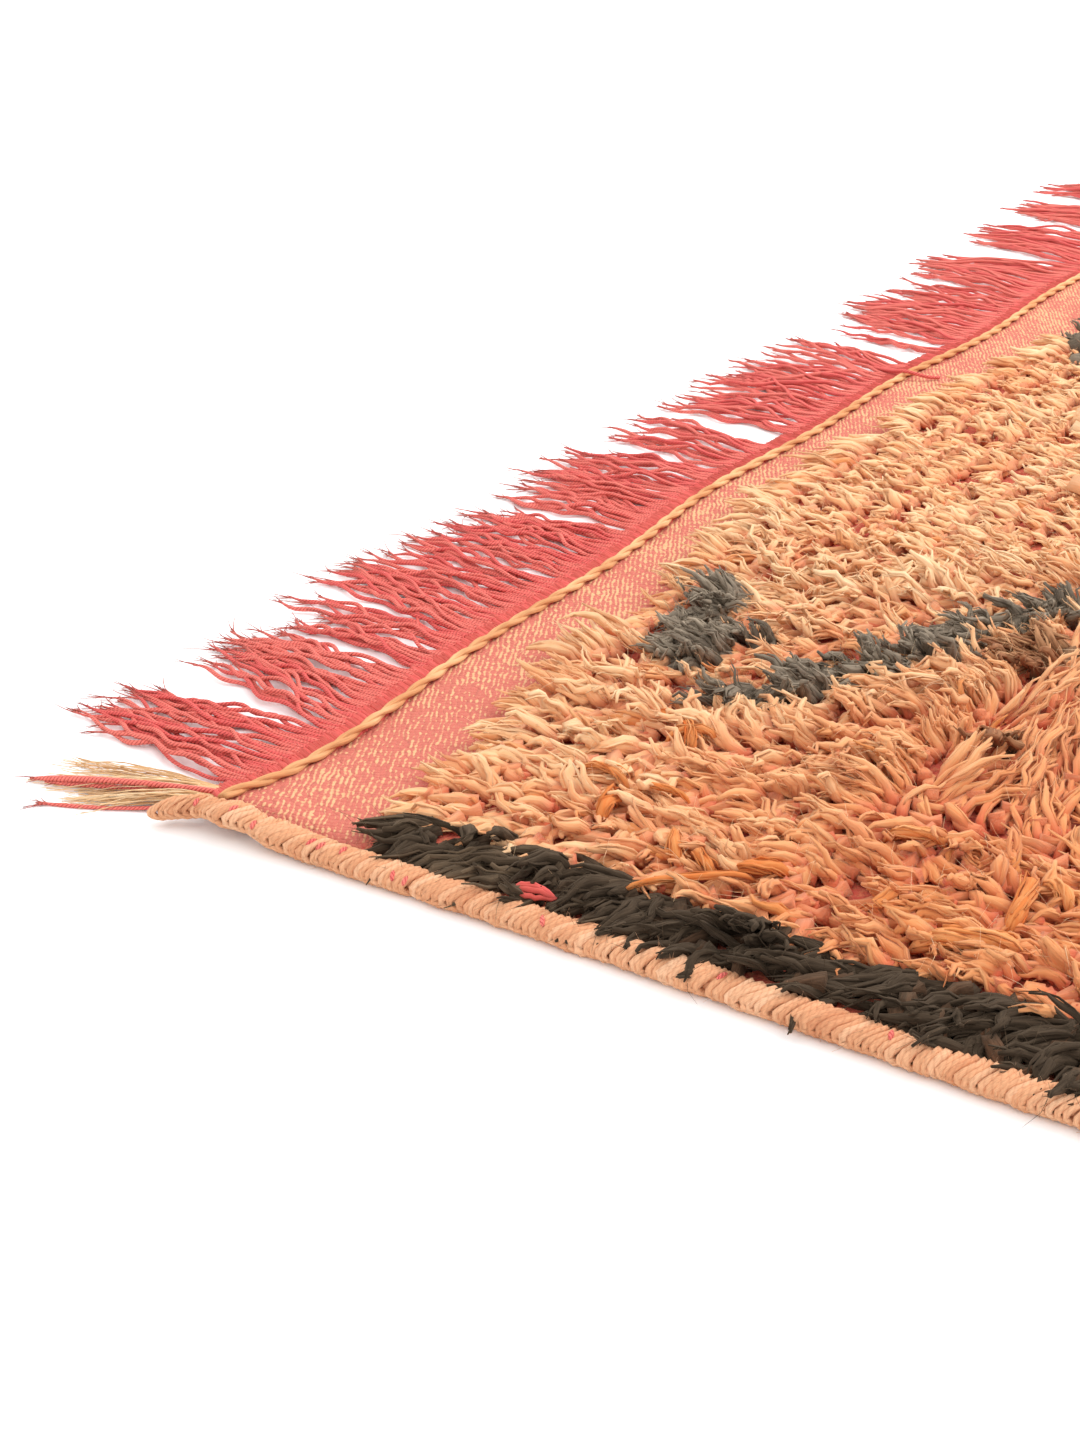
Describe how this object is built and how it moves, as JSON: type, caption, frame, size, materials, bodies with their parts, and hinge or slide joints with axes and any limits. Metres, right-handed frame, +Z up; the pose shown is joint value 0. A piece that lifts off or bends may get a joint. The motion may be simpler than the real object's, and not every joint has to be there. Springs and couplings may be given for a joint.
{
  "type": "knotted pile rug",
  "caption": "Hand-knotted wool rug laid flat: shaggy peach pile, dark side borders, bare woven end bands, wrapped edge cords and long red fringes.",
  "frame": {"origin": "centre of the rug's box, on the floor under it", "axes": "+X along the ends, +Y along the length towards the front fringe, +Z up from the floor"},
  "size_m": [1.2468, 1.9028, 0.0217],
  "materials": {
    "flat_weave": "flat woven wool, coral flecked with peach",
    "peach_wool": "thick soft wool locks, peach to orange",
    "dark_wool": "fuzzy charcoal brown wool locks",
    "edge_cord": "wool wrapped across a cord",
    "twined_cord": "two-ply twisted wool",
    "red_fringe": "two-ply twisted wool yarn, coral red",
    "beige_thread": "loose undyed warp thread"
  },
  "bodies": {
    "root": {"ground_weave": "flat_weave", "pile": "peach_wool", "border_left": "dark_wool", "border_right": "dark_wool", "selvage_left": "edge_cord", "selvage_right": "edge_cord", "twined_cord_front": "twined_cord", "twined_cord_back": "twined_cord", "fringe_front": "red_fringe", "fringe_back": "red_fringe", "corner_tassel_1": "beige_thread", "corner_tassel_2": "beige_thread", "corner_tassel_3": "beige_thread", "corner_tassel_4": "beige_thread"}
  },
  "joints": []
}
